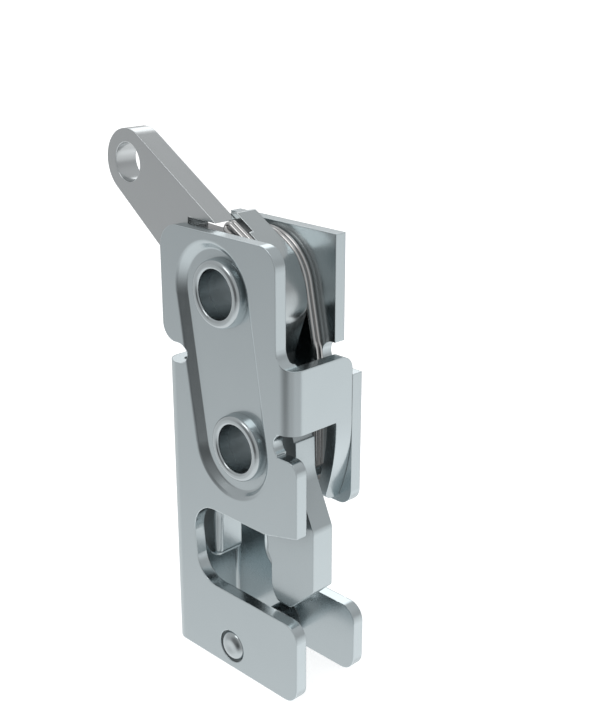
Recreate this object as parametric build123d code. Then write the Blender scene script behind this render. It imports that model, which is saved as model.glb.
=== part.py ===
from build123d import *
import math
import os

# Rotary latch: a folded sheet housing, two tubular bushes, a claw that grips a striker bar, and a pawl with
# its release lever that holds the claw shut.
# Sizes are in millimetres. X runs to the right along the plates, Y to the back plate, Z up.
# The origin is the centre of the lower bore, on the front plate's face. The latch is modelled shut.

# Folded sheet
SHEET = 2.2
CHANNEL_GAP = 12.0
BEND_INNER = 0.8
DEPTH = 2 * SHEET + CHANNEL_GAP
BACK_FACE = SHEET + CHANNEL_GAP
BEND_OUTER = BEND_INNER + SHEET

# Bores
BORE_R = 4.2
UPPER_X = -4.16
UPPER_Z = 26.0

# Housing outline
LEFT_X = -19.0
TOP_Z = 35.8
FOOT_Z = -44.2
FRONT_UPPER_RIGHT_X = 9.46
FRONT_LOWER_RIGHT_X = 14.17
FRONT_TOP_LEFT_R = 4.5
FRONT_TOP_RIGHT_R = 3.7
FRONT_SHOULDER_R = 2.2
FOOT_CORNER_R = 3.0
FOOT_LEFT_R = 1.0

# Relief at the top of the spine
SPINE_TOP_Z = 11.35
SPINE_RELIEF_R = 1.85
SPINE_RELIEF_X = -14.75
SPINE_LIP_R = 3.0

# Striker throat, front plate
THROAT_LEFT_TOP_X = -12.7
THROAT_LEFT_FOOT_X = -11.2
THROAT_TOP_Z = -13.87
THROAT_FOOT_Z = -29.11
THROAT_TOP_R = 5.5
THROAT_FOOT_R = 5.0
THROAT_RAMP_X = 6.5
THROAT_RAMP_R = 4.0
THROAT_MOUTH_Z = -12.0

# Striker throat, back plate
BACK_THROAT_X = -9.0
BACK_THROAT_TOP_Z = -11.35
BACK_THROAT_FOOT_Z = -31.24
BACK_THROAT_R = 4.5

# Back plate outline
BACK_TOP_RIGHT_X = 8.75
BACK_WING_X = 12.89
BACK_WING_TOP_Z = 12.88
BACK_RELIEF_X = 8.0
BACK_RELIEF_R = 2.24
BACK_CORNER_R = 2.8

# Flange folded back from the front plate, and the curved tab below it
FLANGE_X = 12.9
FLANGE_TOP_Z = 16.43
FLANGE_FOOT_Z = 5.35
FLANGE_CORNER_R = 2.5
FLANGE_ROOT_R = 3.0
FLANGE_END_GAP = 0.1
FLANGE_RELIEF_R = 2.05
FLANGE_RELIEF_X = 10.75
TAB_FRONT_Y = 10.4
TAB_CUT_MARGIN = 0.4
TAB_FOOT_Z = -9.95
TAB_CURVE_R = 38.0
TAB_CURVE_TOP_Z = 4.5
TAB_CORNER_R = 2.0
TAB_ROOT_R = 0.3

# Teardrop recess pressed into the front plate
RECESS_DEPTH = 1.15
RECESS_RIM_R = 8.9
RECESS_UPPER_X = -6.09
RECESS_UPPER_Z = 25.34
RECESS_LOWER_X = -1.91
RECESS_LOWER_Z = -0.71
RECESS_WALL = 1.1
RECESS_FLOOR_SHIFT = 0.5
RECESS_SHOULDER_R = 0.9
RECESS_FOOT_R = 0.4
EDGE_MATCH = 0.01

# Tubular bushes
JOURNAL_R = 5.2
SHOULDER_R = 5.5
RING_R = 5.95
RING_PROUD = 1.0
LIP_ROUND = 0.5
RING_CREST_R = 5.15
RING_SHOULDER_R = 5.8
RING_SHOULDER_Y = -0.25
RING_ROUND = 0.8
SWAGE_DEPTH = 1.0
RUNNING_GAP = 0.06

# Stack of moving pieces across the channel
PLAY = 0.1
LEVER_Y = SHEET + RECESS_DEPTH + PLAY
LEVER_THICK = 4.4
LEVER_HUB_THICK = 1.0
CLAW_THICK = 4.4
PAWL_Y = LEVER_Y + LEVER_THICK + PLAY
PAWL_THICK = 4.25
PAWL_END = PAWL_Y + PAWL_THICK
CLAW_END = LEVER_Y + CLAW_THICK

# Release lever
EYE_X = -31.7
EYE_Z = 43.65
EYE_R = 5.9
EYE_HOLE_R = 3.5
LEVER_HUB_R = 8.3
FINGER_TIP_X = -8.4
FINGER_TIP_Z = 36.45
FINGER_SLOT_X = -15.5
FINGER_SLOT_FOOT_Z = 34.75
SPIGOT_R = 6.5
SPIGOT_FLAT = 5.75
SPIGOT_FIT = 0.05
COIL_POCKET_R = 8.75

# Pawl outline
PAWL_TOP_X = -8.3
PAWL_TOP_Z = 37.6
PAWL_SHOULDER_X = 1.6
PAWL_SHOULDER_Z = 31.75
PAWL_SIDE_X = 4.95
PAWL_SIDE_Z = 24.3
PAWL_NECK_X = 1.35
PAWL_NECK_Z = 14.6
PAWL_TOP_WIDTH = 1.8
PAWL_TOP_DROP = 0.4
PAWL_LEFT_X = -12.16
PAWL_WAIST_X = -10.56
PAWL_WAIST_Z = 16.5
PAWL_HEEL_X = -1.3
PAWL_HEEL_Z = 10.4
PAWL_SHOULDER_R = 5.0
PAWL_SIDE_R = 9.0
PAWL_LEFT_R = 6.0
PAWL_WAIST_R = 5.0
PAWL_HEEL_R = 2.0
PAWL_EDGE_R = 0.3
TOE_LENGTH = 2.9
TOE_RISE = 1.6
TOE_NECK_RISE = 3.0
TOE_NECK_R = 1.2
TOE_ROUND = 0.5
CHEEK_Y = 7.0
CHEEK_FOOT_Z = 11.4

# Catch between pawl and rotor
CATCH_X = 2.1
CATCH_Z = 7.9
CATCH_OVERLAP = 0.95
CATCH_GAP = 0.45

# Rotor
ROTOR_HUB_R = 10.4
ROTOR_BOSS_R = 6.9
ROTOR_BOSS_THICK = 2.35
TOOTH_WIDTH = 3.2
TOOTH_ROOT_SHARE = 0.72
CLAW_NECK_X = 10.55
CLAW_NECK_Z = 3.0
CLAW_NECK_R = 6.0
CLAW_RIGHT_X = 14.6
CLAW_SHOULDER_Z = -12.0
CLAW_SHOULDER_R = 2.0
CLAW_HEEL_Z = -23.1
CLAW_HEEL_R = 0.6
CLAW_TIP_RIGHT_X = 9.1
CLAW_TIP_LEFT_X = 5.45
CLAW_TIP_Z = -28.3
CLAW_TIP_R = 1.8
CLAW_SLOT_X = 4.35
CLAW_SLOT_Z = -20.9
CLAW_SLOT_ROUND = 1.2
CLAW_HOOK_Z = -25.5
CLAW_HOOK_R = 1.5
SLOT_R = 6.1
SLOT_X = -3.4
SLOT_Z = -18.3
JAW_LEAN = 0.15
JAW_FOOT_Z = -26.3
JAW_FOOT_RIGHT_R = 1.8
JAW_FOOT_LEFT_X = -12.4
JAW_FOOT_LEFT_R = 1.2
JAW_LEFT_X = -15.2
JAW_SIDE_FOOT_Z = -23.7
JAW_SIDE_FOOT_R = 1.6
JAW_SIDE_TOP_Z = -20.3
JAW_SIDE_TOP_R = 4.0
JAW_THICK = 5.45
JAW_THICK_TOP_Z = -15.3
JAW_EDGE_R = 1.1

# Rotor pin that the rear spring pushes on
ROTOR_PIN_R = 0.8
ROTOR_PIN_X = 7.3
ROTOR_PIN_Z = -5.5
ROTOR_PIN_BURY = 3.0

# Springs
WIRE_R = 0.45
STRAND_GAP = 0.1
SPRING_SPINE_GAP = 0.25
SPRING_SPOOL_GAP = 0.04
SPOOL_WALL = 1.75
SPOOL_R = JOURNAL_R + SPOOL_WALL
SPRING_LOOP_Z = 24.8
SPRING_LOOP_DROP = UPPER_Z - SPRING_LOOP_Z
SPRING_LEFT_X = LEFT_X + SHEET + SPRING_SPINE_GAP + WIRE_R
SPRING_ROOM = UPPER_X - SPRING_LEFT_X - SPOOL_R - SPRING_SPOOL_GAP - WIRE_R
# The loop's shift to the left is the one at which it clears both the spine and the spool
SPRING_LOOP_X = UPPER_X - (SPRING_ROOM**2 - SPRING_LOOP_DROP**2) / (2 * SPRING_ROOM)
SPRING_LOOP_R = SPRING_LOOP_X - SPRING_LEFT_X
SPRING_KNEE_Z = 14.4
SPRING_KNEE_R = 24.0
SPRING_KNEE_LEAN = 0.15
SPRING_HOOK_Z = -7.4
SPRING_TAIL_Z = 3.0
COIL_R = 7.9
COIL_PITCH = 1.06
COIL_START_DEG = 61.1
COIL_TURNS = 1.32
COIL_LEG_TO_FINGER = 7.4
COIL_LEG_TO_SPINE = 18.8
COIL_HOOK_R = 0.55
COIL_HOOK_TIGHT_R = 0.3
COIL_HOOK_STEP = (-0.9, -0.5, -0.45)
COIL_HOOK_DROP = (0, -0.75, -0.45)
COIL_HOOK_RETURN = (1.9, -0.1, -0.25)

# Spacer rivet between the feet
FOOT_PIN_X = -2.65
FOOT_PIN_Z = -39.9
FOOT_PIN_R = 3.2
FOOT_PIN_HOLE_R = 3.1
FOOT_PIN_TENON_R = 2.8
FOOT_PIN_RECESS = 0.5
FOOT_PIN_DOME = 1.0


def outline(*corners):
    """Closed face from corners given as (x, z, corner radius)."""
    points = [(x, z) for x, z, _ in corners]
    radii = [radius for _, _, radius in corners]
    return make_face(FilletPolyline(*points, radius=radii, close=True))


def disc(x, z, radius):
    return Pos(x, z) * Circle(radius)


def window(x0, x1, z0, z1):
    return Pos((x0 + x1) / 2, (z0 + z1) / 2) * Rectangle(x1 - x0, z1 - z0)


def slab(face, y0, y1):
    """Face drawn in X and Z, made solid from depth y0 to depth y1."""
    return extrude(Plane.XZ.offset(-y0) * face, amount=-(y1 - y0))


def turned(x, z, *profile):
    """Solid of revolution about the Y axis through x, z, from (radius, y) corners."""
    corners = [(radius, y) for radius, y in profile]
    face = make_face(Polyline(*corners, close=True))
    return Pos(x, 0, z) * revolve(face, Axis.Y)


def tube(x, z, inner, outer, y0, y1):
    return turned(x, z, (inner, y0), (outer, y0), (outer, y1), (inner, y1))


def front_plate_face():
    face = outline(
        (LEFT_X, TOP_Z, FRONT_TOP_LEFT_R),
        (FRONT_UPPER_RIGHT_X, TOP_Z, FRONT_TOP_RIGHT_R),
        (FRONT_UPPER_RIGHT_X, FLANGE_FOOT_Z - 2 * FLANGE_RELIEF_R, 0),
        (FRONT_LOWER_RIGHT_X, FLANGE_FOOT_Z - 2 * FLANGE_RELIEF_R, FRONT_SHOULDER_R),
        (FRONT_LOWER_RIGHT_X, FOOT_Z, FOOT_CORNER_R),
        (LEFT_X, FOOT_Z, FOOT_LEFT_R),
    )
    throat = outline(
        (THROAT_LEFT_TOP_X, THROAT_TOP_Z, THROAT_TOP_R),
        (THROAT_RAMP_X, THROAT_TOP_Z, THROAT_RAMP_R),
        (FRONT_LOWER_RIGHT_X, THROAT_MOUTH_Z, 0),
        (FRONT_LOWER_RIGHT_X + BEND_OUTER, THROAT_MOUTH_Z, 0),
        (FRONT_LOWER_RIGHT_X + BEND_OUTER, THROAT_FOOT_Z - FOOT_CORNER_R, 0),
        (FRONT_LOWER_RIGHT_X, THROAT_FOOT_Z - FOOT_CORNER_R, 0),
        (FRONT_LOWER_RIGHT_X - FOOT_CORNER_R, THROAT_FOOT_Z, 0),
        (THROAT_LEFT_FOOT_X, THROAT_FOOT_Z, THROAT_FOOT_R),
    )
    foot_round = disc(FRONT_LOWER_RIGHT_X - FOOT_CORNER_R, THROAT_FOOT_Z - FOOT_CORNER_R, FOOT_CORNER_R)
    relief_z = FLANGE_FOOT_Z - FLANGE_RELIEF_R
    relief = disc(FLANGE_RELIEF_X, relief_z, FLANGE_RELIEF_R)
    return face - (throat - foot_round) - relief - spine_relief_face()


def spine_relief_face():
    """Slot that frees the fold at the top of the spine, and the plate's rounded lip above it."""
    slot_z = SPINE_TOP_Z + SPINE_RELIEF_R
    slot_top = slot_z + SPINE_RELIEF_R
    slot = window(LEFT_X - 1, SPINE_RELIEF_X, SPINE_TOP_Z, slot_top)
    slot += disc(SPINE_RELIEF_X, slot_z, SPINE_RELIEF_R)
    lip = window(LEFT_X, LEFT_X + SPINE_LIP_R, slot_top, slot_top + SPINE_LIP_R)
    return slot + (lip - disc(LEFT_X + SPINE_LIP_R, slot_top + SPINE_LIP_R, SPINE_LIP_R))


def back_plate_face():
    inner_left = LEFT_X + SHEET
    face = window(inner_left, BACK_TOP_RIGHT_X, SPINE_TOP_Z + SPINE_RELIEF_R, TOP_Z)
    body = outline(
        (LEFT_X, SPINE_TOP_Z, 0),
        (LEFT_X, FOOT_Z, FOOT_LEFT_R),
        (FRONT_LOWER_RIGHT_X, FOOT_Z, FOOT_CORNER_R),
        (FRONT_LOWER_RIGHT_X, BACK_THROAT_FOOT_Z, FOOT_CORNER_R),
        (BACK_THROAT_X, BACK_THROAT_FOOT_Z, BACK_THROAT_R),
        (BACK_THROAT_X, BACK_THROAT_TOP_Z, BACK_THROAT_R),
        (BACK_WING_X, BACK_THROAT_TOP_Z, BACK_CORNER_R),
        (BACK_WING_X, BACK_WING_TOP_Z, 0),
        (SPINE_RELIEF_X, BACK_WING_TOP_Z, 0),
        (SPINE_RELIEF_X, SPINE_TOP_Z, 0),
    )
    middle = window(SPINE_RELIEF_X, BACK_TOP_RIGHT_X, SPINE_TOP_Z, TOP_Z)
    relief_z = BACK_WING_TOP_Z + BACK_RELIEF_R
    relief = disc(BACK_RELIEF_X, relief_z, BACK_RELIEF_R)
    relief += window(BACK_RELIEF_X, BACK_WING_X + 1, BACK_WING_TOP_Z, relief_z + BACK_RELIEF_R)
    return face + body + middle - relief - spine_relief_face()


def channel():
    """Lower half of the housing: front plate, spine and back plate as one folded sheet."""
    right = FRONT_LOWER_RIGHT_X
    middle_y = DEPTH / 2
    outer = Pos((LEFT_X + right) / 2, middle_y) * Rectangle(right - LEFT_X, DEPTH)
    outer = fillet(outer.vertices().filter_by(lambda v: v.X < 0), BEND_OUTER)
    inner_left = LEFT_X + SHEET
    inner = Pos((inner_left + right + 1) / 2, middle_y) * Rectangle(right + 1 - inner_left, CHANNEL_GAP)
    inner = fillet(inner.vertices().filter_by(lambda v: v.X < 0), BEND_INNER)
    folded = extrude(Plane.XY.offset(FOOT_Z) * (outer - inner), amount=SPINE_TOP_Z - FOOT_Z)
    plates = slab(window(LEFT_X, right, SPINE_TOP_Z, TOP_Z), 0, SHEET)
    plates += slab(window(LEFT_X, right, SPINE_TOP_Z, TOP_Z), BACK_FACE, DEPTH)
    return folded + plates


def flange_and_tab():
    """Flange folded back from the front plate, with the tab that curves inward below it."""
    end_y = BACK_FACE - FLANGE_END_GAP
    root_x = FLANGE_X - BEND_OUTER
    inner_x = FLANGE_X - SHEET
    centre_x = FLANGE_X - TAB_CURVE_R
    ring = disc(centre_x, TAB_CURVE_TOP_Z, TAB_CURVE_R) - disc(centre_x, TAB_CURVE_TOP_Z, TAB_CURVE_R - SHEET)
    strip = ring & window(0, FLANGE_X, TAB_FOOT_Z, TAB_CURVE_TOP_Z)
    strip += window(inner_x, FLANGE_X, TAB_CURVE_TOP_Z, FLANGE_TOP_Z)
    side = outline(
        (BEND_OUTER, FLANGE_TOP_Z, 0),
        (end_y, FLANGE_TOP_Z, FLANGE_CORNER_R),
        (end_y, TAB_FOOT_Z, 0),
        (TAB_FRONT_Y, TAB_FOOT_Z, TAB_CORNER_R),
        (TAB_FRONT_Y, FLANGE_FOOT_Z, TAB_ROOT_R),
        (BEND_OUTER, FLANGE_FOOT_Z, 0),
    )
    side_block = extrude(Plane.YZ * side, amount=FLANGE_X + 1)
    flange = slab(strip, 0, DEPTH) & side_block
    quarter = disc(root_x, BEND_OUTER, BEND_OUTER) - disc(root_x, BEND_OUTER, BEND_INNER)
    quarter = quarter & window(root_x, FLANGE_X, 0, BEND_OUTER)
    root_top = FLANGE_TOP_Z + FLANGE_ROOT_R
    bend = extrude(Plane.XY.offset(FLANGE_FOOT_Z) * quarter, amount=root_top - FLANGE_FOOT_Z)
    root = window(FRONT_UPPER_RIGHT_X - 1, root_x, FLANGE_FOOT_Z, root_top)
    bend += slab(root, 0, SHEET)
    web_x = FRONT_UPPER_RIGHT_X + FLANGE_ROOT_R
    corner = disc(web_x, root_top, FLANGE_ROOT_R) + window(web_x, FLANGE_X + 1, FLANGE_TOP_Z, root_top)
    return flange + (bend - slab(corner, -1, BEND_OUTER + 1))


def teardrop(shrink, shift):
    """Two circles joined by tangents. It shrinks by shrink and moves to the right by shift."""
    radius = RECESS_RIM_R - shrink
    upper = (RECESS_UPPER_X + shift, RECESS_UPPER_Z)
    lower = (RECESS_LOWER_X + shift, RECESS_LOWER_Z)
    dx = upper[0] - lower[0]
    dz = upper[1] - lower[1]
    length = math.hypot(dx, dz)
    side = (-dz / length * radius, dx / length * radius)
    along = (dx / length * radius, dz / length * radius)
    left_top = (upper[0] + side[0], upper[1] + side[1])
    right_top = (upper[0] - side[0], upper[1] - side[1])
    left_foot = (lower[0] + side[0], lower[1] + side[1])
    right_foot = (lower[0] - side[0], lower[1] - side[1])
    crown = (upper[0] + along[0], upper[1] + along[1])
    toe = (lower[0] - along[0], lower[1] - along[1])
    edges = [
        ThreePointArc(left_top, crown, right_top),
        Line(right_top, right_foot),
        ThreePointArc(right_foot, toe, left_foot),
        Line(left_foot, left_top),
    ]
    return make_face(edges)


def pressed_recess(y0):
    """Body of the recess from depth y0, with its rounded shoulder and foot."""
    rim = Plane.XZ.offset(-y0) * teardrop(0, 0)
    floor = Plane.XZ.offset(-(y0 + RECESS_DEPTH)) * teardrop(RECESS_WALL, RECESS_FLOOR_SHIFT)
    body = loft([rim, floor])
    return fillet(body.faces().sort_by(Axis.Y)[-1].edges(), RECESS_FOOT_R)


def recess_shoulder(body):
    """Edges of the front plate where the recess begins."""
    rim = (Plane.XZ * teardrop(0, 0)).edges()
    return body.edges().filter_by(
        lambda edge: any((edge.center() - line.center()).length < EDGE_MATCH for line in rim))


def bush_holes():
    holes = disc(0, 0, JOURNAL_R) + disc(UPPER_X, UPPER_Z, JOURNAL_R)
    return slab(holes, -1, DEPTH + 1)


def swage(x, z, radius):
    """Cone in the back plate that the bush is spread into."""
    return turned(x, z, (0, DEPTH - SWAGE_DEPTH), (radius, DEPTH - SWAGE_DEPTH),
                  (radius + SWAGE_DEPTH, DEPTH), (0, DEPTH))


def housing():
    front = slab(front_plate_face(), -1, DEPTH / 2)
    back = slab(back_plate_face(), DEPTH / 2, DEPTH + 1)
    body = channel() & (front + back)
    body += flange_and_tab()
    body += pressed_recess(SHEET)
    body -= pressed_recess(0)
    body = fillet(recess_shoulder(body), RECESS_SHOULDER_R)
    body -= bush_holes()
    for x, z, radius in ((0, 0, SHOULDER_R), (UPPER_X, UPPER_Z, JOURNAL_R)):
        body -= swage(x, z, radius)
    body -= slab(disc(0, 0, SHOULDER_R), BACK_FACE - 1, DEPTH - SWAGE_DEPTH)
    body -= slab(disc(FOOT_PIN_X, FOOT_PIN_Z, FOOT_PIN_HOLE_R), -1, DEPTH + 1)
    return body


def block(x0, x1, y0, y1, z0, z1):
    return Pos((x0 + x1) / 2, (y0 + y1) / 2, (z0 + z1) / 2) * Box(x1 - x0, y1 - y0, z1 - z0)


def sheet_parts():
    """The one folded sheet as its four flat parts: two plates, the spine, the flange with its tab."""
    body = housing()
    spine_x = LEFT_X + BEND_OUTER
    flange_x = FLANGE_X - BEND_OUTER
    tab_y = TAB_FRONT_Y - TAB_CUT_MARGIN
    spine = block(LEFT_X, spine_x, 0, DEPTH, FOOT_Z, SPINE_TOP_Z)
    flange = block(flange_x, FLANGE_X, 0, BACK_FACE, FLANGE_FOOT_Z, TOP_Z)
    flange += block(flange_x - BEND_OUTER, FLANGE_X, tab_y, BACK_FACE, TAB_FOOT_Z, FLANGE_FOOT_Z)
    plates = body - spine - flange
    return {
        "front_plate": plates - block(LEFT_X, FRONT_LOWER_RIGHT_X, DEPTH / 2, DEPTH, FOOT_Z, TOP_Z),
        "back_plate": plates - block(LEFT_X, FRONT_LOWER_RIGHT_X, 0, DEPTH / 2, FOOT_Z, TOP_Z),
        "spine": body & spine,
        "side_flange": body & flange,
    }


def bushing(x, z, rear_radius, step_y):
    """Tube rolled over into a round ring at the front and spread into the back plate."""
    lip = (BORE_R, LIP_ROUND - RING_PROUD)
    crest_start = (BORE_R + LIP_ROUND, -RING_PROUD)
    crest_end = (RING_CREST_R, -RING_PROUD)
    shoulder = (RING_SHOULDER_R, RING_SHOULDER_Y)
    section = make_face([
        Polyline(lip, (BORE_R, DEPTH), (JOURNAL_R, DEPTH), (JOURNAL_R, RECESS_DEPTH),
                 (RING_R, RECESS_DEPTH), shoulder),
        RadiusArc(shoulder, crest_end, RING_ROUND),
        Line(crest_end, crest_start),
        RadiusArc(crest_start, lip, LIP_ROUND),
    ])
    body = Pos(x, 0, z) * revolve(section, Axis.Y)
    body += tube(x, z, BORE_R, rear_radius, step_y, DEPTH - SWAGE_DEPTH)
    wide = rear_radius + SWAGE_DEPTH
    return body + turned(x, z, (BORE_R, DEPTH - SWAGE_DEPTH), (rear_radius, DEPTH - SWAGE_DEPTH),
                         (wide, DEPTH), (BORE_R, DEPTH))


def lever_arm_face():
    """Arm from the eye to the hub, with the finger over the slot."""
    top_dx = FINGER_TIP_X - EYE_X
    top_dz = FINGER_TIP_Z - EYE_Z
    top_angle = math.atan2(top_dz, top_dx) + math.acos(EYE_R / math.hypot(top_dx, top_dz))
    top_start = (EYE_X + EYE_R * math.cos(top_angle), EYE_Z + EYE_R * math.sin(top_angle))
    hub_dx = UPPER_X - EYE_X
    hub_dz = UPPER_Z - EYE_Z
    hub_length = math.hypot(hub_dx, hub_dz)
    low_angle = math.atan2(hub_dz, hub_dx) - math.asin((LEVER_HUB_R - EYE_R) / hub_length)
    low_normal = (math.sin(low_angle), -math.cos(low_angle))
    low_start = (EYE_X + EYE_R * low_normal[0], EYE_Z + EYE_R * low_normal[1])
    low_end = (UPPER_X + LEVER_HUB_R * low_normal[0], UPPER_Z + LEVER_HUB_R * low_normal[1])
    body = make_face(Polyline(
        top_start, (FINGER_TIP_X, FINGER_TIP_Z), (FINGER_SLOT_X, FINGER_TIP_Z),
        (FINGER_SLOT_X, FINGER_SLOT_FOOT_Z), (UPPER_X, UPPER_Z + LEVER_HUB_R), (UPPER_X, UPPER_Z),
        low_end, low_start, (EYE_X, EYE_Z), close=True,
    ))
    return body + disc(EYE_X, EYE_Z, EYE_R)


def spigot_face(clearance):
    """Round spigot with two flats that keys the lever to the pawl."""
    flat = SPIGOT_FLAT + clearance
    radius = SPIGOT_R + clearance
    band = window(UPPER_X - radius, UPPER_X + radius, UPPER_Z - flat, UPPER_Z + flat)
    return disc(UPPER_X, UPPER_Z, radius) & band


def trigger_lever():
    arm = lever_arm_face()
    hub = disc(UPPER_X, UPPER_Z, LEVER_HUB_R)
    body = slab(arm - disc(UPPER_X, UPPER_Z, COIL_POCKET_R), LEVER_Y, LEVER_Y + LEVER_THICK)
    body += slab(arm + hub, LEVER_Y, LEVER_Y + LEVER_HUB_THICK)
    body -= slab(disc(EYE_X, EYE_Z, EYE_HOLE_R), 0, DEPTH)
    return body - slab(spigot_face(SPIGOT_FIT), 0, DEPTH)


def catch_direction():
    """Unit vector along the catch faces, square to the line from the catch to the pawl's pivot."""
    dx = UPPER_X - CATCH_X
    dz = UPPER_Z - CATCH_Z
    length = math.hypot(dx, dz)
    return dz / length, -dx / length


def pawl():
    ux, uz = catch_direction()
    toe_x = CATCH_X + TOE_LENGTH * ux
    toe_z = CATCH_Z + TOE_LENGTH * uz
    face = outline(
        (PAWL_TOP_X, PAWL_TOP_Z, PAWL_EDGE_R),
        (PAWL_SHOULDER_X, PAWL_SHOULDER_Z, PAWL_SHOULDER_R),
        (PAWL_SIDE_X, PAWL_SIDE_Z, PAWL_SIDE_R),
        (PAWL_NECK_X, PAWL_NECK_Z, 0),
        (PAWL_NECK_X, toe_z + TOE_NECK_RISE, TOE_NECK_R),
        (toe_x, toe_z + TOE_RISE, TOE_ROUND),
        (toe_x, toe_z, PAWL_EDGE_R),
        (CATCH_X, CATCH_Z, PAWL_EDGE_R),
        (PAWL_HEEL_X, PAWL_HEEL_Z, PAWL_HEEL_R),
        (PAWL_WAIST_X, PAWL_WAIST_Z, PAWL_WAIST_R),
        (PAWL_LEFT_X, UPPER_Z, PAWL_LEFT_R),
        (PAWL_TOP_X - PAWL_TOP_WIDTH, PAWL_TOP_Z - PAWL_TOP_DROP, PAWL_EDGE_R),
    )
    cheek = face & window(UPPER_X, PAWL_SIDE_X, CHEEK_FOOT_Z, PAWL_TOP_Z)
    hub_front = LEVER_Y + LEVER_HUB_THICK + SPIGOT_FIT
    body = slab(face, PAWL_Y, PAWL_END) + slab(cheek, CHEEK_Y, PAWL_Y)
    body += slab(disc(UPPER_X, UPPER_Z, SPIGOT_R), hub_front, PAWL_Y)
    body += slab(spigot_face(0), LEVER_Y, hub_front)
    return body - slab(disc(UPPER_X, UPPER_Z, JOURNAL_R + RUNNING_GAP), 0, DEPTH)


def claw_face():
    slot_left = SLOT_X - SLOT_R
    body = outline(
        (ROTOR_HUB_R, CLAW_NECK_Z, 0),
        (CLAW_NECK_X, -CLAW_NECK_Z, CLAW_NECK_R),
        (CLAW_RIGHT_X, CLAW_SHOULDER_Z, CLAW_SHOULDER_R),
        (CLAW_RIGHT_X, CLAW_HEEL_Z, CLAW_HEEL_R),
        (CLAW_TIP_RIGHT_X, CLAW_TIP_Z, CLAW_TIP_R),
        (CLAW_TIP_LEFT_X, CLAW_TIP_Z, CLAW_TIP_R),
        (CLAW_SLOT_X, CLAW_HOOK_Z, CLAW_HOOK_R),
        (CLAW_SLOT_X, CLAW_SLOT_Z, CLAW_SLOT_ROUND),
        (SLOT_X + SLOT_R, SLOT_Z, 0),
        (slot_left, SLOT_Z, 0),
        (slot_left - JAW_LEAN, JAW_FOOT_Z, JAW_FOOT_RIGHT_R),
        (JAW_FOOT_LEFT_X, JAW_FOOT_Z, JAW_FOOT_LEFT_R),
        (JAW_LEFT_X, JAW_SIDE_FOOT_Z, JAW_SIDE_FOOT_R),
        (JAW_LEFT_X, JAW_SIDE_TOP_Z, JAW_SIDE_TOP_R),
        (-ROTOR_HUB_R, 0, 0),
        (0, 0, 0),
    )
    return body + disc(0, 0, ROTOR_HUB_R) - disc(SLOT_X, SLOT_Z, SLOT_R)


def catch_tooth_face():
    """Tooth on the rotor's boss. Its top face lies along the pawl's, one gap below."""
    ux, uz = catch_direction()
    face_x = CATCH_X + CATCH_GAP * uz
    face_z = CATCH_Z - CATCH_GAP * ux
    crest = (face_x + CATCH_OVERLAP * ux, face_z + CATCH_OVERLAP * uz)
    heel = (face_x - TOOTH_WIDTH * ux, face_z - TOOTH_WIDTH * uz)
    root = (crest[0] * TOOTH_ROOT_SHARE, crest[1] * TOOTH_ROOT_SHARE)
    return make_face(Polyline(crest, heel, (0, 0), root, close=True))


def rotor():
    body = slab(claw_face(), LEVER_Y, CLAW_END)
    jaw_x = SLOT_X - SLOT_R - JAW_LEAN / 2
    front_edges = body.faces().sort_by(Axis.Y)[0].edges()
    body = fillet(front_edges.sort_by_distance((jaw_x, LEVER_Y, (SLOT_Z + JAW_FOOT_Z) / 2))[0], JAW_EDGE_R)
    jaw = claw_face() & window(JAW_LEFT_X, SLOT_X, JAW_FOOT_Z, JAW_THICK_TOP_Z)
    body += slab(jaw, CLAW_END, LEVER_Y + JAW_THICK)
    boss = disc(0, 0, ROTOR_BOSS_R) + catch_tooth_face()
    body += slab(boss, CLAW_END, CLAW_END + ROTOR_BOSS_THICK)
    body -= slab(disc(0, 0, JOURNAL_R + RUNNING_GAP), 0, DEPTH)
    return body - slab(disc(ROTOR_PIN_X, ROTOR_PIN_Z, ROTOR_PIN_R), CLAW_END - ROTOR_PIN_BURY, DEPTH)


def rotor_pin():
    return slab(disc(ROTOR_PIN_X, ROTOR_PIN_Z, ROTOR_PIN_R), CLAW_END - ROTOR_PIN_BURY, BACK_FACE - 2 * PLAY)


def swept_wire(edges):
    path = Wire(edges)
    section = Plane(origin=path @ 0, z_dir=path % 0) * Circle(WIRE_R)
    return sweep(section, path=path)


def rotor_spring():
    """Doubled hairpin spring: a loop round the spool, a leg on the spine, a leg behind the rotor pin."""
    pitch = 2 * WIRE_R + STRAND_GAP
    rear_y = BACK_FACE - STRAND_GAP / 2 - WIRE_R
    front_y = rear_y - pitch
    leg_x = ROTOR_PIN_X - ROTOR_PIN_R - WIRE_R
    knee_x = leg_x - SPRING_KNEE_LEAN
    dx = knee_x - SPRING_LOOP_X
    dz = SPRING_KNEE_Z - SPRING_LOOP_Z
    distance = math.hypot(dx, dz)
    angle = math.atan2(dz, dx) + math.acos(SPRING_LOOP_R / distance)
    start = (SPRING_LOOP_X + SPRING_LOOP_R * math.cos(angle), SPRING_LOOP_Z + SPRING_LOOP_R * math.sin(angle))
    hook_r = pitch / 2

    def strand(y):
        tail = Line((SPRING_LEFT_X, y, SPRING_TAIL_Z), (SPRING_LEFT_X, y, SPRING_LOOP_Z))
        crown = (SPRING_LOOP_X, y, SPRING_LOOP_Z + SPRING_LOOP_R)
        loop = ThreePointArc((SPRING_LEFT_X, y, SPRING_LOOP_Z), crown, (start[0], y, start[1]))
        leg = FilletPolyline((start[0], y, start[1]), (knee_x, y, SPRING_KNEE_Z),
                             (leg_x, y, SPRING_HOOK_Z), radius=SPRING_KNEE_R)
        return [tail, loop, *leg.edges()]

    hook = ThreePointArc((leg_x, front_y, SPRING_HOOK_Z), (leg_x, front_y + hook_r, SPRING_HOOK_Z - hook_r),
                         (leg_x, rear_y, SPRING_HOOK_Z))
    return swept_wire([*strand(front_y), hook, *strand(rear_y)])


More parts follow.
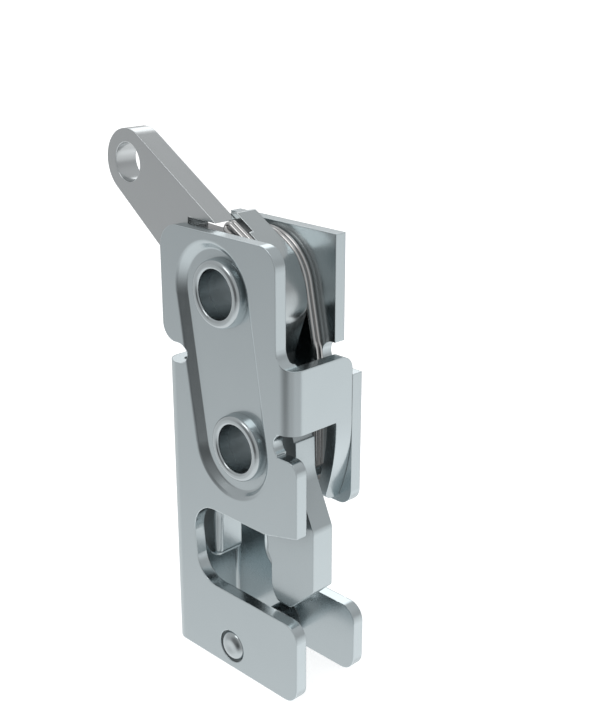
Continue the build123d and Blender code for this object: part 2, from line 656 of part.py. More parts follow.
def trigger_spring():
    """Torsion spring on the pawl's hub: one leg bears under the lever's finger, the other on the spine."""
    start_y = LEVER_Y + LEVER_HUB_THICK + PLAY + WIRE_R
    coil = Helix(pitch=COIL_PITCH, height=COIL_PITCH * COIL_TURNS, radius=COIL_R)
    place = Plane(origin=(UPPER_X, start_y, UPPER_Z), x_dir=direction_at(COIL_START_DEG), z_dir=(0, 1, 0))
    coil = place.location * coil
    head = coil @ 0
    head_way = coil % 0
    tail = coil @ 1
    tail_way = coil % 1
    finger = head - head_way * COIL_LEG_TO_FINGER
    under = finger + Vector(*COIL_HOOK_STEP)
    back = under + Vector(*COIL_HOOK_DROP)
    end = back + Vector(*COIL_HOOK_RETURN)
    bends = [COIL_HOOK_TIGHT_R, COIL_HOOK_TIGHT_R, COIL_HOOK_R]
    hook = FilletPolyline(end, back, under, finger, head, radius=bends)
    leg = Line(tail, tail + tail_way * COIL_LEG_TO_SPINE)
    return swept_wire([*hook.edges(), coil, leg])


def direction_at(degrees):
    angle = math.radians(degrees)
    return math.cos(angle), 0, math.sin(angle)


def spring_spool():
    return tube(UPPER_X, UPPER_Z, JOURNAL_R + RUNNING_GAP, SPOOL_R, PAWL_END + PLAY, BACK_FACE)


def foot_pin():
    """Spacer rivet between the feet, with a domed end in each hole."""
    tenons = tube(FOOT_PIN_X, FOOT_PIN_Z, 0, FOOT_PIN_TENON_R, FOOT_PIN_RECESS, DEPTH - FOOT_PIN_RECESS)
    ends = tenons.edges().filter_by(GeomType.CIRCLE)
    return fillet(ends, FOOT_PIN_DOME) + tube(FOOT_PIN_X, FOOT_PIN_Z, 0, FOOT_PIN_R, SHEET, BACK_FACE)


def build():
    rotor_step = CLAW_END + ROTOR_BOSS_THICK + PLAY
    return {
        **sheet_parts(),
        "upper_bushing": bushing(UPPER_X, UPPER_Z, JOURNAL_R, DEPTH / 2),
        "lower_bushing": bushing(0, 0, SHOULDER_R, rotor_step),
        "trigger_lever": trigger_lever(),
        "pawl": pawl(),
        "rotor": rotor(),
        "rotor_pin": rotor_pin(),
        "trigger_spring": trigger_spring(),
        "rotor_spring": rotor_spring(),
        "spring_spool": spring_spool(),
        "foot_pin": foot_pin(),
    }


os.makedirs("parts", exist_ok=True)
for name, solid in build().items():
    export_step(solid, f"parts/{name}.step")
    print(name, round(solid.volume, 1), "mm3")
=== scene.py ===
# %% [markdown]
# # A rotary latch in zinc-plated steel
# The latch is one folded sheet with two tubular bushes through it, a claw that takes the striker bar, a
# pawl with its release lever, and two wire springs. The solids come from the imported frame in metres, with
# +Z up along the plates and +Y from the front plate to the back plate. This script makes the springs and
# the spacer rivet in finer detail, dresses everything in plated metal, lights it and sets the camera.

# %% Load the frame
import math

import bpy
from mathutils import Euler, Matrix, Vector


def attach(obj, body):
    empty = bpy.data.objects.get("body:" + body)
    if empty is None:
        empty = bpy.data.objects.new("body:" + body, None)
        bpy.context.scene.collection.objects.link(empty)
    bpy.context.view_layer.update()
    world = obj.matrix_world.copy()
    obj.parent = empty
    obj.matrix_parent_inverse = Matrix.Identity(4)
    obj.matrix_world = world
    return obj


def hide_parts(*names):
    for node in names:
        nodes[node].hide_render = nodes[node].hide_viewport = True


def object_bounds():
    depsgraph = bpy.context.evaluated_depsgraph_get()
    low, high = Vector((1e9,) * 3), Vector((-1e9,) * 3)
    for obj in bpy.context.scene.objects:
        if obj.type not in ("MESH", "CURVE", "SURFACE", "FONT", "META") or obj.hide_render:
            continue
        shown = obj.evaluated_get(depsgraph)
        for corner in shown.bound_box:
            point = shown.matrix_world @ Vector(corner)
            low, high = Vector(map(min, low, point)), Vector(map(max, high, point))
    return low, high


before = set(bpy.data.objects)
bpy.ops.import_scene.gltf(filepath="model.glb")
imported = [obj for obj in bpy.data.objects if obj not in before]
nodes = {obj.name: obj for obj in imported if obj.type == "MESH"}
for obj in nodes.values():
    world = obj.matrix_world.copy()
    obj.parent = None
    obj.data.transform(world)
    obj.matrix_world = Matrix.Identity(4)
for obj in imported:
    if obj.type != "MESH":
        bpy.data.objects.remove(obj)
cad_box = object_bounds()
print("solids in the frame:", sorted(nodes))

# %% [markdown]
# ## Shader maths as plain expressions
# A shader tree is easier to read as a formula than as a heap of nodes. One small class wraps a socket, so
# that a sum or a product of two sockets adds its own Math node. One method makes any other node from its
# type, its settings and the values or links of its sockets.

# %% A socket that can be added, multiplied and compared
def join(tree, value, socket):
    if isinstance(value, Wire):
        tree.links.new(value.socket, socket)
    else:
        socket.default_value = value


class Wire:
    """One output socket of a shader tree, with arithmetic."""

    def __init__(self, tree, socket):
        self.tree = tree
        self.socket = socket

    def math(self, operation, *values):
        node = self.tree.nodes.new("ShaderNodeMath")
        node.operation = operation
        for slot, value in zip(node.inputs, values):
            join(self.tree, value, slot)
        return Wire(self.tree, node.outputs[0])

    def __add__(self, other):
        return self.math("ADD", self, other)

    def __radd__(self, other):
        return self.math("ADD", other, self)

    def __sub__(self, other):
        return self.math("SUBTRACT", self, other)

    def __rsub__(self, other):
        return self.math("SUBTRACT", other, self)

    def __mul__(self, other):
        return self.math("MULTIPLY", self, other)

    def __rmul__(self, other):
        return self.math("MULTIPLY", other, self)

    def __neg__(self):
        return self.math("MULTIPLY", self, -1.0)

    def clamp(self):
        return self.math("MINIMUM", self.math("MAXIMUM", self, 0.0), 1.0)

    def step(self, low, high):
        """0 below low, 1 above high, with a soft change between them."""
        node = self.tree.nodes.new("ShaderNodeMapRange")
        node.interpolation_type = "SMOOTHSTEP"
        join(self.tree, self, node.inputs["Value"])
        node.inputs["From Min"].default_value = low
        node.inputs["From Max"].default_value = high
        return Wire(self.tree, node.outputs["Result"])


class Sheet:
    """One shader tree, empty at the start."""

    def __init__(self, tree):
        self.tree = tree
        tree.nodes.clear()

    def add(self, kind, settings=None, output=0, **inputs):
        """A node of that kind. Settings go on the node, inputs on its sockets, with _ in place of a space."""
        node = self.tree.nodes.new(kind)
        for name, value in (settings or {}).items():
            setattr(node, name, value)
        for name, value in inputs.items():
            join(self.tree, value, node.inputs[name.replace("_", " ")])
        return Wire(self.tree, node.outputs[output]) if node.outputs else node

    def mix(self, factor, low, high):
        """Colour between low and high."""
        node = self.tree.nodes.new("ShaderNodeMix")
        node.data_type = "RGBA"
        join(self.tree, factor, node.inputs[0])
        for value, slot in ((low, node.inputs[6]), (high, node.inputs[7])):
            join(self.tree, value if isinstance(value, Wire) else (*value, 1), slot)
        return Wire(self.tree, node.outputs[2])

    def mix_vectors(self, factor, low, high):
        """Vector between low and high."""
        node = self.tree.nodes.new("ShaderNodeMix")
        node.data_type = "VECTOR"
        for value, slot in ((factor, node.inputs[0]), (low, node.inputs[4]), (high, node.inputs[5])):
            join(self.tree, value, slot)
        return Wire(self.tree, node.outputs[1])

    def facing(self, one, other):
        """How far two vectors point the same way, from -1 to 1 for unit vectors."""
        node = self.tree.nodes.new("ShaderNodeVectorMath")
        node.operation = "DOT_PRODUCT"
        join(self.tree, one, node.inputs[0])
        join(self.tree, other, node.inputs[1])
        return Wire(self.tree, node.outputs["Value"])

    def parts(self, vector):
        """The three parts of a vector."""
        node = self.tree.nodes.new("ShaderNodeSeparateXYZ")
        join(self.tree, vector, node.inputs[0])
        return [Wire(self.tree, socket) for socket in node.outputs]

    def scaled(self, vector, factors):
        """Vector with each part multiplied."""
        node = self.tree.nodes.new("ShaderNodeVectorMath")
        node.operation = "MULTIPLY"
        join(self.tree, vector, node.inputs[0])
        join(self.tree, factors, node.inputs[1])
        return Wire(self.tree, node.outputs[0])

    def noise(self, vector, scale, detail, roughness):
        return self.add(
            "ShaderNodeTexNoise", None, 0, Vector=vector, Scale=scale, Detail=detail, Roughness=roughness)


print("shader helpers ready")

# %% [markdown]
# ## The camera
# The photograph looks down on the latch from the front right. Its camera was found from the bores' ellipses
# and the plates' edges: 198 mm from the lower bore, turned 45 degrees, with a slight roll. The picture's
# centre lies off the lens axis, which the small shift gives back.

# %% Camera
FOCAL_MM = 58.63
SENSOR_MM = 36.0
SHIFT = (-0.01681, 0.01175)
CAMERA_PLACE = (0.136302, -0.119461, 0.079208)
CAMERA_TURN = (70.23875, -0.21508, 44.91549)
NEAREST, FARTHEST = 0.01, 20.0

camera_data = bpy.data.cameras.new("photo_camera")
camera_data.lens = FOCAL_MM
camera_data.sensor_width = SENSOR_MM
camera_data.shift_x, camera_data.shift_y = SHIFT
camera_data.clip_start, camera_data.clip_end = NEAREST, FARTHEST
camera = bpy.data.objects.new("photo_camera", camera_data)
bpy.context.scene.collection.objects.link(camera)
camera.location = CAMERA_PLACE
camera.rotation_euler = Euler([math.radians(angle) for angle in CAMERA_TURN], "XYZ")
bpy.context.scene.camera = camera
print("camera to lower bore in mm:", round(1000 * Vector(CAMERA_PLACE).length))

# %% [markdown]
# ## The light
# Bright zinc has hardly a colour of its own: it shows the room. The room is a wide, soft tent of grey that
# is lighter below, where the white table throws the light back. Panels stand low on the back right, high on
# the back left, overhead and low on the left. The front is darker, where the camera stands. Each panel is a
# soft lobe round one direction, so the light has no hard edges.

# %% Tent of soft light
PANELS = (
    # direction, cosines where the lobe begins and is full, strength
    ((0.66, 0.66, -0.36), 0.84, 0.98, 0.32),
    ((-0.58, 0.62, 0.52), 0.945, 0.99, 1.20),
    ((0.00, 0.30, 0.95), 0.50, 0.90, 0.09),
    ((0.00, -1.00, 0.08), 0.70, 0.97, -0.30),
    ((0.42, -0.86, -0.30), 0.75, 0.98, -0.12),
    ((-0.95, -0.10, -0.28), 0.86, 0.99, 0.12),
)
TENT_LEVEL, TABLE_LIGHT = 0.52, 0.42
DARKEST = 0.04
WHITE = (1.0, 1.0, 1.0)


def soft_tent(world):
    sheet = Sheet(world.node_tree)
    direction = sheet.add("ShaderNodeTexCoord", None, "Generated")
    level = TENT_LEVEL + TABLE_LIGHT * (-sheet.parts(direction)[2]).step(0.10, 0.80)
    for towards, edge, full, strength in PANELS:
        lobe = sheet.facing(direction, tuple(Vector(towards).normalized())).step(edge, full)
        level = level + strength * lobe
    level = level.math("MAXIMUM", level, DARKEST)
    tint = sheet.add("ShaderNodeCombineColor", None, 0, Red=level * 0.985, Green=level, Blue=level * 1.01)
    paths = sheet.tree.nodes.new("ShaderNodeLightPath")
    seen = Wire(sheet.tree, paths.outputs["Is Camera Ray"])
    colour = sheet.mix(seen, tint, WHITE)
    background = sheet.add("ShaderNodeBackground", None, 0, Color=colour, Strength=1.0)
    output = sheet.tree.nodes.new("ShaderNodeOutputWorld")
    join(sheet.tree, background, output.inputs["Surface"])


world = bpy.data.worlds.new("soft_tent")
world.use_nodes = True
bpy.context.scene.world = world
soft_tent(world)
bpy.context.scene.view_settings.view_transform = "Standard"
print("panels in the tent:", len(PANELS))

# %% [markdown]
# ## A softbox
# Rounded edges and the spring wire need one bright source to draw a crisp line of light. A softbox above
# the front does that. Its power is set so that it is only a little brighter than white paper.

# %% Softbox
def softbox(name, place, aim, size, power):
    lamp = bpy.data.lights.new(name, "AREA")
    lamp.shape = "RECTANGLE"
    lamp.size, lamp.size_y = size
    lamp.energy = power
    holder = bpy.data.objects.new(name, lamp)
    bpy.context.scene.collection.objects.link(holder)
    holder.location = place
    holder.rotation_euler = (Vector(aim) - Vector(place)).to_track_quat("-Z", "Y").to_euler()
    return holder


CENTRE = (0.0, 0.005, 0.0)
SOFTBOX_PLACE = (0.0, -0.255, 0.43)
SOFTBOX_SIZE = (0.24, 0.20)
SOFTBOX_WATTS = 0.24
lamp = softbox("softbox", SOFTBOX_PLACE, CENTRE, SOFTBOX_SIZE, SOFTBOX_WATTS)
print("softbox above the front:", [round(value, 3) for value in lamp.location])

# %% [markdown]
# ## The table
# The latch stands on its feet on a plain white sweep. The sweep takes the camera's rays and the soft shadow
# under the feet. The metal shows the tent in its place, which already holds the table's light.

# %% White sweep
FOOT_Z = cad_box[0].z
REACH = 3.0
PAPER = (0.93, 0.93, 0.93, 1)
PAPER_GLOW = 0.70


def white_sweep():
    mesh = bpy.data.meshes.new("white_sweep")
    corners = ((-REACH, -REACH), (REACH, -REACH), (REACH, REACH), (-REACH, REACH))
    mesh.from_pydata([(x, y, FOOT_Z) for x, y in corners], [], [(0, 1, 2, 3)])
    mesh.materials.append(white_paper())
    floor = bpy.data.objects.new("white_sweep", mesh)
    bpy.context.scene.collection.objects.link(floor)
    floor.visible_glossy = False
    floor.visible_shadow = False
    return floor


def white_paper():
    material = bpy.data.materials.new("white_paper")
    material.use_nodes = True
    sheet = Sheet(material.node_tree)
    paths = sheet.tree.nodes.new("ShaderNodeLightPath")
    seen = Wire(sheet.tree, paths.outputs["Is Camera Ray"])
    paper = sheet.add("ShaderNodeBsdfDiffuse", None, 0, Color=PAPER)
    glow = sheet.add("ShaderNodeEmission", None, 0, Color=(*WHITE, 1), Strength=seen * PAPER_GLOW)
    surface = sheet.add("ShaderNodeAddShader")
    join(sheet.tree, paper, surface.socket.node.inputs[0])
    join(sheet.tree, glow, surface.socket.node.inputs[1])
    output = sheet.tree.nodes.new("ShaderNodeOutputMaterial")
    join(sheet.tree, surface, output.inputs["Surface"])
    return material


white_sweep()
print("sweep at height", round(FOOT_Z, 4))

# %% [markdown]
# ## Zinc plating
# Plated sheet is a smooth metal with a cold tint. Close up it has faint rolling lines along the strip and
# cloudy patches where the bath left it thicker. Every edge gets a painted highlight, a lighter line in the
# colour. Noise stretched along the strip gives the lines, and a Bevel node gives the small edge rounds that
# catch the light. Hollows get a painted shade, darker where an Ambient Occlusion node finds them closed in.
# Three places have a mask of their own: the folds between the sheet's solids, where the real sheet runs on
# without an edge, the walls of the bores, which get a painted shade, and the lever's edge below its finger,
# which gets a painted shadow.

# %% Masks over the zinc
SEAMS = ((0, -0.016), (0, 0.0099), (2, 0.00535))
BORE_AXES = ((0.0, 0.0), (-0.00416, 0.026))
BORE_RADIUS = 0.0043


def off_the_seams(sheet, place):
    """0 on the fold lines where the sheet's four parts meet, and 1 away from them."""
    parts = sheet.parts(place)
    away = 1.0
    for axis, at in SEAMS:
        offset = parts[axis] - at
        away = offset.math("ABSOLUTE", offset).step(0.00022, 0.0003) * away
    return away


def down_the_bores(sheet, place):
    """Mask for the painted shade and rougher finish in the bores: 0 outside the bushes, rising to 1 on the
    wall of their bores a few millimetres in.
    """
    parts = sheet.parts(place)
    inside = 0.0
    for x, z in BORE_AXES:
        across = parts[0] - x
        up = parts[2] - z
        square = across * across + up * up
        inside = (1.0 - square.math("SQRT", square).step(BORE_RADIUS, BORE_RADIUS + 0.0002)) + inside
    return inside * parts[1].step(-0.0006, 0.004)


def shadow_under_the_finger(sheet, place, normal):
    """Painted shadow: 1 on the lever's edge below its finger, in the dark between the plates, and 0
    elsewhere.
    """
    parts = sheet.parts(place)
    faces_up = sheet.parts(normal)[2].step(-0.05, 0.15)
    below_the_finger = 1.0 - parts[2].step(0.0345, 0.0353)
    return faces_up * below_the_finger * parts[0].step(-0.0185, -0.0165)


def between_heights(sheet, place, low, high):
    """1 between two heights, with a soft end of 3 mm past each, and 0 elsewhere."""
    height = sheet.parts(place)[2]
    return height.step(low, low + 0.003) * (1.0 - height.step(high, high + 0.003))


print("seams:", len(SEAMS), "bores:", len(BORE_AXES))

# %% [markdown]
# ## One recipe for all the plated pieces
# Each piece takes the same recipe with its own values. Colour and dark are the two ends of the clouding.
# Edge is the radius of the rounded edges. Reach, the painted shade's depth and open_at say how far a hollow
# is looked for, how dark the painted shade in it gets and how open a place is that has none. Fill is a little
# light in the most closed hollows, between two heights. It stands for light that goes to and fro between the
# plates more often than the renderer follows.

# %% Zinc material
LINE_SCALE, CLOUD_SCALE, SMUDGE_SCALE = 2600.0, 90.0, 420.0
# Painted highlight on the edges: how much lighter the colour gets, the lightest it gets, and how much of it
# is laid on.
EDGE_HIGHLIGHT_GAIN, EDGE_HIGHLIGHT_MOST, EDGE_HIGHLIGHT_SHARE = 1.48, 0.96, 0.9
# Painted shade on the bore walls, and how much rougher they are.
BORE_SHADE, BORE_ROUGHER = 0.86, 0.20
# Painted shadow below the lever's finger, as a share of the dark colour.
FINGER_SHADE = 0.10
LINE_HEIGHT = 0.00002
BLACK = (0.0, 0.0, 0.0)


def times(factor, colour):
    return tuple(factor * part for part in colour)


def plated_metal(
        name, colour, dark, rough, grain=(1.0, 1.0, 0.06), edge=0.00024,
        reach=0.006, hollow_shade=0.5, open_at=0.70, fill=0.0, fill_from=-1.0, fill_to=1.0,
        folded=False, bored=False, finger_shadow=False):
    """Zinc over steel. Grain gives how far the rolling lines are squeezed along each axis."""
    material = bpy.data.materials.new(name)
    material.use_nodes = True
    sheet = Sheet(material.node_tree)
    place = sheet.add("ShaderNodeTexCoord", None, "Object")
    flat = sheet.add("ShaderNodeNewGeometry", None, "Normal")
    rounded = sheet.add("ShaderNodeBevel", {"samples": 8}, 0, Radius=edge)
    hollow = sheet.add("ShaderNodeAmbientOcclusion", {"samples": 6}, "AO", Distance=reach)
    lines = sheet.noise(sheet.scaled(place, grain), LINE_SCALE, 4.0, 0.6)
    cloud = sheet.noise(place, CLOUD_SCALE, 4.0, 0.6)
    smudge = sheet.noise(place, SMUDGE_SCALE, 2.0, 0.5)

    # Painted highlight: a lighter colour on the edge rounds that the Bevel node finds.
    painted_edge_highlight = (1.0 - sheet.facing(rounded, flat)).step(0.01, 0.2)
    if folded:
        away = off_the_seams(sheet, place)
        rounded = sheet.mix_vectors(away, flat, rounded)
        painted_edge_highlight = painted_edge_highlight * away
    shade = (cloud - 0.5) * 0.55 + (lines - 0.5) * 0.25 + 0.5
    tone = sheet.mix(shade.clamp(), dark, colour)
    # Painted highlight laid into the colour on the edges.
    highlight_colour = tuple(min(EDGE_HIGHLIGHT_MOST, part) for part in times(EDGE_HIGHLIGHT_GAIN, colour))
    tone = sheet.mix(painted_edge_highlight * EDGE_HIGHLIGHT_SHARE, tone, highlight_colour)
    # Painted shade: a darker colour in the hollows that the Ambient Occlusion node finds.
    tone = sheet.mix(hollow.step(0.05, open_at), times(hollow_shade, dark), tone)
    roughness = rough + (smudge - 0.5) * 0.06 + (lines - 0.5) * 0.07
    # Painted shadow on the lever's edge below its finger.
    if finger_shadow:
        tone = sheet.mix(shadow_under_the_finger(sheet, place, flat), tone, times(FINGER_SHADE, dark))
    # Painted shade: the bore walls are darker in colour. They are also rougher.
    if bored:
        down = down_the_bores(sheet, place)
        tone = sheet.mix(down, tone, times(BORE_SHADE, dark))
        roughness = roughness + down * BORE_ROUGHER
    lifted = (1.0 - hollow.step(0.08, 0.48)) * between_heights(sheet, place, fill_from, fill_to)
    bounce = sheet.mix(lifted, BLACK, times(fill, colour))

    relief = 0.02 if bored else 0.10
    bump = sheet.add(
        "ShaderNodeBump", None, 0, Strength=relief, Distance=LINE_HEIGHT, Height=lines, Normal=rounded)
    surface = sheet.add(
        "ShaderNodeBsdfPrincipled", None, 0,
        Base_Color=tone, Metallic=1.0, Roughness=roughness, Normal=bump, Emission_Color=bounce,
        Emission_Strength=1.0,
    )
    output = sheet.tree.nodes.new("ShaderNodeOutputMaterial")
    join(sheet.tree, surface, output.inputs["Surface"])
    return material


sheet_zinc = plated_metal(
    "sheet_zinc", (0.570, 0.625, 0.642), (0.520, 0.575, 0.592), 0.20, reach=0.006, hollow_shade=0.55, open_at=0.75,
    folded=True, fill=0.15, fill_to=0.005)
claw_zinc = plated_metal(
    "claw_zinc", (0.560, 0.615, 0.632), (0.510, 0.565, 0.580), 0.22, reach=0.014, hollow_shade=0.35, open_at=0.95,
    fill=0.05)
lever_zinc = plated_metal(
    "lever_zinc", (0.582, 0.610, 0.616), (0.540, 0.552, 0.556), 0.20, finger_shadow=True)
pawl_zinc = plated_metal(
    "pawl_zinc", (0.560, 0.598, 0.606), (0.505, 0.545, 0.552), 0.20, reach=0.007, hollow_shade=0.8, fill=0.22,
    fill_from=0.029)
bush_zinc = plated_metal(
    "bush_zinc", (0.600, 0.645, 0.658), (0.530, 0.575, 0.590), 0.18, (1.0, 6.0, 1.0), bored=True, hollow_shade=0.7)
wire_steel = plated_metal(
    "wire_steel", (0.640, 0.635, 0.628), (0.580, 0.572, 0.565), 0.16, (1.0, 1.0, 0.3), fill=0.15)
ZINCS = (sheet_zinc, claw_zinc, lever_zinc, pawl_zinc, bush_zinc, wire_steel)
print("finishes mixed:", [finish.name for finish in ZINCS])

# %% [markdown]
# ## Spring wire
# Both springs are hairpins of doubled wire, so each is one wire that goes out, turns back and returns
# beside itself. A Geometry Nodes tree lays round wire along any path: it rounds the path's corners, spaces
# its points evenly and sweeps a circle along it. Its inputs are the wire's radius, the bend radius, the
# spacing, the number of sides and the finish.

# %% Wire along a path
MM = 0.001


def wire_tree():
    """Geometry Nodes tree that turns a path of edges into round wire."""
    tree = bpy.data.node_groups.new("wire_along_a_path", "GeometryNodeTree")
    tree.interface.new_socket("Path", in_out="INPUT", socket_type="NodeSocketGeometry")
    for name, kind in (("Wire radius", "Float"), ("Bend radius", "Float"), ("Spacing", "Float"),
                       ("Sides", "Int"), ("Finish", "Material")):
        tree.interface.new_socket(name, in_out="INPUT", socket_type=f"NodeSocket{kind}")
    tree.interface.new_socket("Wire", in_out="OUTPUT", socket_type="NodeSocketGeometry")
    given = tree.nodes.new("NodeGroupInput")
    path = tree.nodes.new("GeometryNodeMeshToCurve")
    bends = tree.nodes.new("GeometryNodeFilletCurve")
    bends.mode = "POLY"
    bends.inputs["Count"].default_value = 8
    bends.inputs["Limit Radius"].default_value = True
    even = tree.nodes.new("GeometryNodeResampleCurve")
    even.mode = "LENGTH"
    section = tree.nodes.new("GeometryNodeCurvePrimitiveCircle")
    sweep = tree.nodes.new("GeometryNodeCurveToMesh")
    sweep.inputs["Fill Caps"].default_value = True
    smooth = tree.nodes.new("GeometryNodeSetShadeSmooth")
    real = tree.nodes.new("GeometryNodeRealizeInstances")
    finish = tree.nodes.new("GeometryNodeSetMaterial")
    out = tree.nodes.new("NodeGroupOutput")
    chain = (
        (given, "Path", path, "Mesh"),
        (path, "Curve", bends, "Curve"),
        (given, "Bend radius", bends, "Radius"),
        (bends, "Curve", even, "Curve"),
        (given, "Spacing", even, "Length"),
        (even, "Curve", sweep, "Curve"),
        (given, "Sides", section, "Resolution"),
        (given, "Wire radius", section, "Radius"),
        (section, "Curve", sweep, "Profile Curve"),
        (sweep, "Mesh", smooth, "Geometry"),
        (smooth, "Geometry", real, "Geometry"),
        (real, "Geometry", finish, "Geometry"),
        (given, "Finish", finish, "Material"),
        (finish, "Geometry", out, "Wire"),
    )
    for source, output, target, entry in chain:
        tree.links.new(source.outputs[output], target.inputs[entry])
    return tree


WIRE_TREE = wire_tree()


def wire_piece(name, points, **inputs):
    """Plain mesh of wire along the points, which are in millimetres."""
    path = bpy.data.meshes.new(f"{name}_path")
    steps = [(i, i + 1) for i in range(len(points) - 1)]
    path.from_pydata([Vector(point) * MM for point in points], steps, [])
    piece = bpy.data.objects.new(name, path)
    bpy.context.scene.collection.objects.link(piece)
    modifier = piece.modifiers.new("wire", "NODES")
    modifier.node_group = WIRE_TREE
    for item in WIRE_TREE.interface.items_tree:
        if item.in_out == "INPUT" and item.name in inputs:
            modifier[item.identifier] = inputs[item.name]
    depsgraph = bpy.context.evaluated_depsgraph_get()
    mesh = bpy.data.meshes.new_from_object(piece.evaluated_get(depsgraph))
    piece.modifiers.clear()
    piece.data = mesh
    mesh.name = name
    return piece


print("wire tree nodes:", len(WIRE_TREE.nodes))

# %% [markdown]
# ## The two springs
# The rear spring loops over the spool. Its short legs stand on the spine and its long legs reach down to
# the claw's pin, where the wire turns back. The front spring lies round the pawl's hub, from the lever's
# finger to the spine, where it turns back. Its first strand ends in a curl under the finger. All sizes are
# in millimetres.

# %% Springs
WIRE_RADIUS = 0.45
WIRE_SPACING, WIRE_SIDES = 0.25, 20
REAR_BEND, FRONT_BEND = 24.0, 0.5
PITCH = 1.0
SPINE_X = -16.1
LOOP_X, LOOP_Z, LOOP_RADIUS = -6.25, 24.8, 9.85
TAIL_Z = 3.0
KNEE_X, KNEE_Z = 5.9, 14.4
HOOK_X, HOOK_Z = 6.05, -7.4
REAR_Y = 13.7

HUB_X, HUB_Z, HUB_RADIUS = -4.16, 26.0, 7.9
FRONT_Y = 5.0
WRAP_START, WRAP_END = 61.1, -54.1
FINGER_LEG, SPINE_LEG = 7.4, 18.8
UNDER_FINGER_X, UNDER_FINGER_Z = -7.9, 35.9
CURL = ((-7.45, 4.75, 35.85), (-6.6, 4.3, 35.3), (-5.4, 4.1, 34.85))


def arc(centre_x, centre_z, radius, start, end, y, count):
    """Points of an arc across the plates, with its angles in degrees."""
    angles = [math.radians(start + (end - start) * i / count) for i in range(count + 1)]
    return [(centre_x + radius * math.cos(a), y, centre_z + radius * math.sin(a)) for a in angles]


def rear_strand(y):
    """One strand from its foot on the spine, over the spool and down to the hook."""
    reach = math.hypot(KNEE_X - LOOP_X, KNEE_Z - LOOP_Z)
    leave = math.atan2(KNEE_Z - LOOP_Z, KNEE_X - LOOP_X) + math.acos(LOOP_RADIUS / reach)
    loop = arc(LOOP_X, LOOP_Z, LOOP_RADIUS, 180, math.degrees(leave), y, 48)
    return [(SPINE_X, y, TAIL_Z), *loop, (KNEE_X, y, KNEE_Z), (HOOK_X, y, HOOK_Z)]


def rear_path():
    """Both strands, joined by a half turn at the hook."""
    turn = PITCH / 2
    angles = [math.pi * i / 8 for i in range(1, 8)]
    hook = [(HOOK_X, REAR_Y - turn - turn * math.cos(a), HOOK_Z - turn * math.sin(a)) for a in angles]
    return [*rear_strand(REAR_Y - PITCH), *hook, *reversed(rear_strand(REAR_Y))]


def along_tangent(angle, length):
    """Point on the straight leg that leaves the hub's circle at that angle."""
    turn = math.radians(angle)
    x = HUB_X + HUB_RADIUS * math.cos(turn) + length * math.sin(turn)
    z = HUB_Z + HUB_RADIUS * math.sin(turn) - length * math.cos(turn)
    return x, z


def front_strand(y):
    """One strand from beside the finger, round the hub and down to the spine."""
    top_x, top_z = along_tangent(WRAP_START, -FINGER_LEG)
    foot_x, foot_z = along_tangent(WRAP_END, SPINE_LEG)
    hub = arc(HUB_X, HUB_Z, HUB_RADIUS, WRAP_START, WRAP_END, y, 40)
    return [(top_x, y, top_z), *hub, (foot_x, y, foot_z)]


def front_path():
    """Both strands, joined at the spine. The first ends in a curl, the second in a short plain end."""
    short_end = (UNDER_FINGER_X, FRONT_Y + PITCH, UNDER_FINGER_Z)
    return [*reversed(CURL), *front_strand(FRONT_Y), *reversed(front_strand(FRONT_Y + PITCH)), short_end]


SPRINGS = (
    ("rear_spring_wire", rear_path(), REAR_BEND, "rotor_spring"),
    ("front_spring_wire", front_path(), FRONT_BEND, "trigger_spring"),
)
for name, path, bend, node in SPRINGS:
    piece = wire_piece(name, path, **{
        "Wire radius": WIRE_RADIUS * MM,
        "Bend radius": bend * MM,
        "Spacing": WIRE_SPACING * MM,
        "Sides": WIRE_SIDES,
        "Finish": wire_steel,
    })
    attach(piece, "frame")
    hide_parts(node)
    print(name, "faces:", len(piece.data.polygons))

# %% [markdown]
# ## The spacer rivet
# The rivet between the feet is turned: a thick shank between the plates and a thinner, upset end in each
# plate. The front end stands a little proud of its hole and has the shallow dimple that the riveting tool
# leaves.

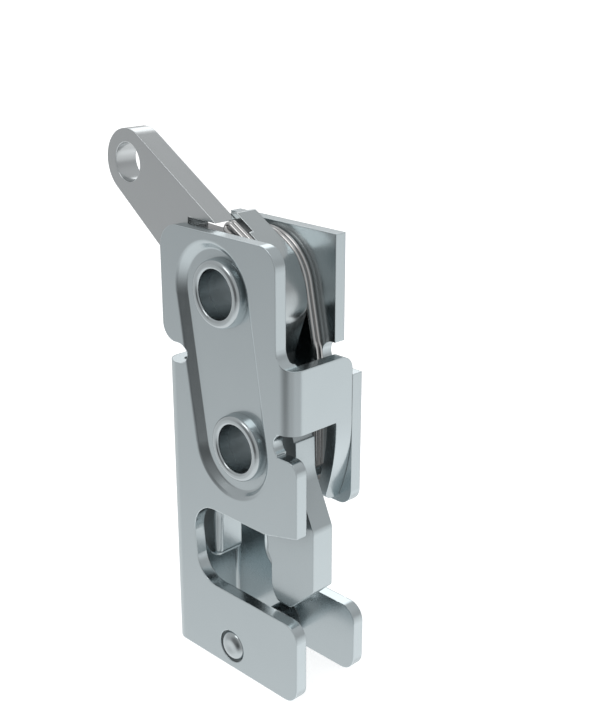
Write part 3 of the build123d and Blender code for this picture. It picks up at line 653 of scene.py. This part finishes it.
# %% Spacer rivet
RIVET_X, RIVET_Z = -2.65, -39.9
RIVET_PROFILE = (
    # radius, depth behind the front face: dimple, dome, front end, shank, rear end
    (0.0, -0.36), (0.6, -0.42), (1.2, -0.52),
    (1.7, -0.46), (2.2, -0.22), (2.6, 0.16), (2.85, 0.62),
    (2.95, 1.2), (2.95, 2.2),
    (3.2, 2.3), (3.2, 14.1),
    (2.75, 14.2), (2.75, 15.6), (2.5, 16.0), (1.9, 16.25), (1.0, 16.35), (0.0, 16.38),
)
RIVET_SIDES = 72


def turned_piece(name, centre_x, centre_z, profile, sides):
    """Mesh of a profile turned round an axis that runs through the plates."""
    rings = [(radius, depth) for radius, depth in profile if radius > 0]
    points = [(centre_x, profile[0][1], centre_z), (centre_x, profile[-1][1], centre_z)]
    for radius, depth in rings:
        for i in range(sides):
            turn = math.tau * i / sides
            points.append((centre_x + radius * math.cos(turn), depth, centre_z + radius * math.sin(turn)))
    faces = []
    for i in range(sides):
        j = (i + 1) % sides
        faces.append((0, 2 + i, 2 + j))
        for ring in range(len(rings) - 1):
            near, far = 2 + ring * sides, 2 + (ring + 1) * sides
            faces.append((near + i, far + i, far + j, near + j))
        last = 2 + (len(rings) - 1) * sides
        faces.append((last + i, 1, last + j))
    mesh = bpy.data.meshes.new(name)
    mesh.from_pydata([Vector(point) * MM for point in points], [], faces)
    mesh.polygons.foreach_set("use_smooth", [True] * len(faces))
    piece = bpy.data.objects.new(name, mesh)
    bpy.context.scene.collection.objects.link(piece)
    return piece


rivet = turned_piece("spacer_rivet", RIVET_X, RIVET_Z, RIVET_PROFILE, RIVET_SIDES)
rivet.data.materials.append(bush_zinc)
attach(rivet, "frame")
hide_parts("foot_pin")
print("rivet faces:", len(rivet.data.polygons))

# %% [markdown]
# ## Finishes on the solids
# The solids of the frame keep their shape and place and only take a finish. The springs and the rivet have
# theirs already.

# %% Finishes on the solids
FINISH = {
    "front_plate": sheet_zinc,
    "back_plate": sheet_zinc,
    "spine": sheet_zinc,
    "side_flange": sheet_zinc,
    "rotor": claw_zinc,
    "trigger_lever": lever_zinc,
    "pawl": pawl_zinc,
    "upper_bushing": bush_zinc,
    "lower_bushing": bush_zinc,
    "rotor_pin": bush_zinc,
    "spring_spool": bush_zinc,
}
for name, finish in FINISH.items():
    mesh = nodes[name].data
    mesh.materials.clear()
    mesh.materials.append(finish)
print("dressed", len(FINISH), "solids")
